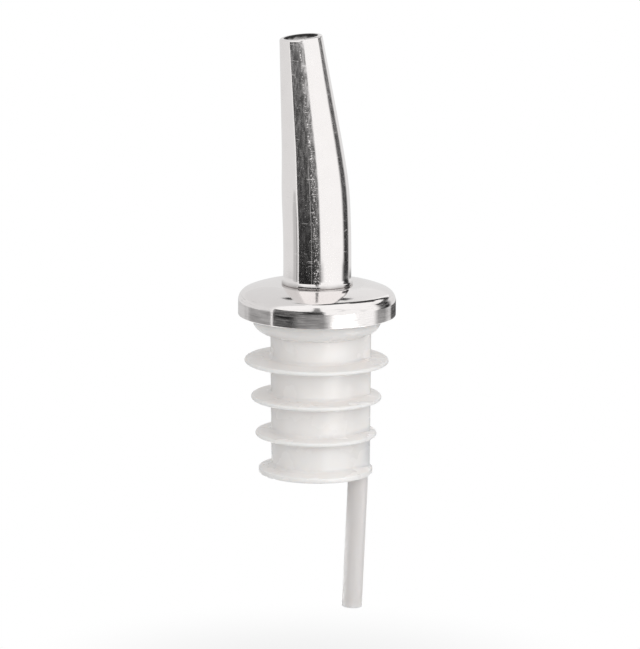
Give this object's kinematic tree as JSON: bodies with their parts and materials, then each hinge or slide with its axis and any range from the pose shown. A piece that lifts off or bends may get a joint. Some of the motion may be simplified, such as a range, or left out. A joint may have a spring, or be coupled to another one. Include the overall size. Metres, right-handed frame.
{
  "type": "pour spout",
  "caption": "Free-flow bottle pourer: a bent, tapered metal spout on a domed collar, pushed into a finned plastic stopper with a side breather tube.",
  "frame": {"origin": "on the stopper's axis, in the plane where the underside of the stopper's head seats on the bottle's lip", "axes": "+Z along the stopper's axis, out of the bottle towards the spout; the spout leans towards -X and the breather tube is on the +X side"},
  "size_m": [0.0274, 0.0274, 0.1012],
  "materials": {
    "chrome": "polished, with fine drawing marks",
    "steel": "plain drawn tube",
    "white_plastic": "soft translucent moulding, satin",
    "tube_plastic": "extruded, cloudy and translucent"
  },
  "bodies": {
    "stopper": {"stopper": "white_plastic"},
    "collar": {"collar": "chrome"},
    "jet": {"spout": "chrome", "stem": "steel"},
    "breather": {"breather_tube": "tube_plastic"}
  },
  "joints": [
    {"name": "spout_lift", "type": "slide", "parent": "stopper", "child": "collar", "axis": [0, 0, 1], "range_m": [0, 0.026]},
    {"name": "spout_swivel", "type": "hinge", "parent": "collar", "child": "jet", "pos_m": [0, 0, 0.0087], "axis": [0, 0, 1], "continuous": true},
    {"name": "breather_slide", "type": "slide", "parent": "stopper", "child": "breather", "axis": [0, 0, -1], "range_m": [0, 0.008]}
  ]
}
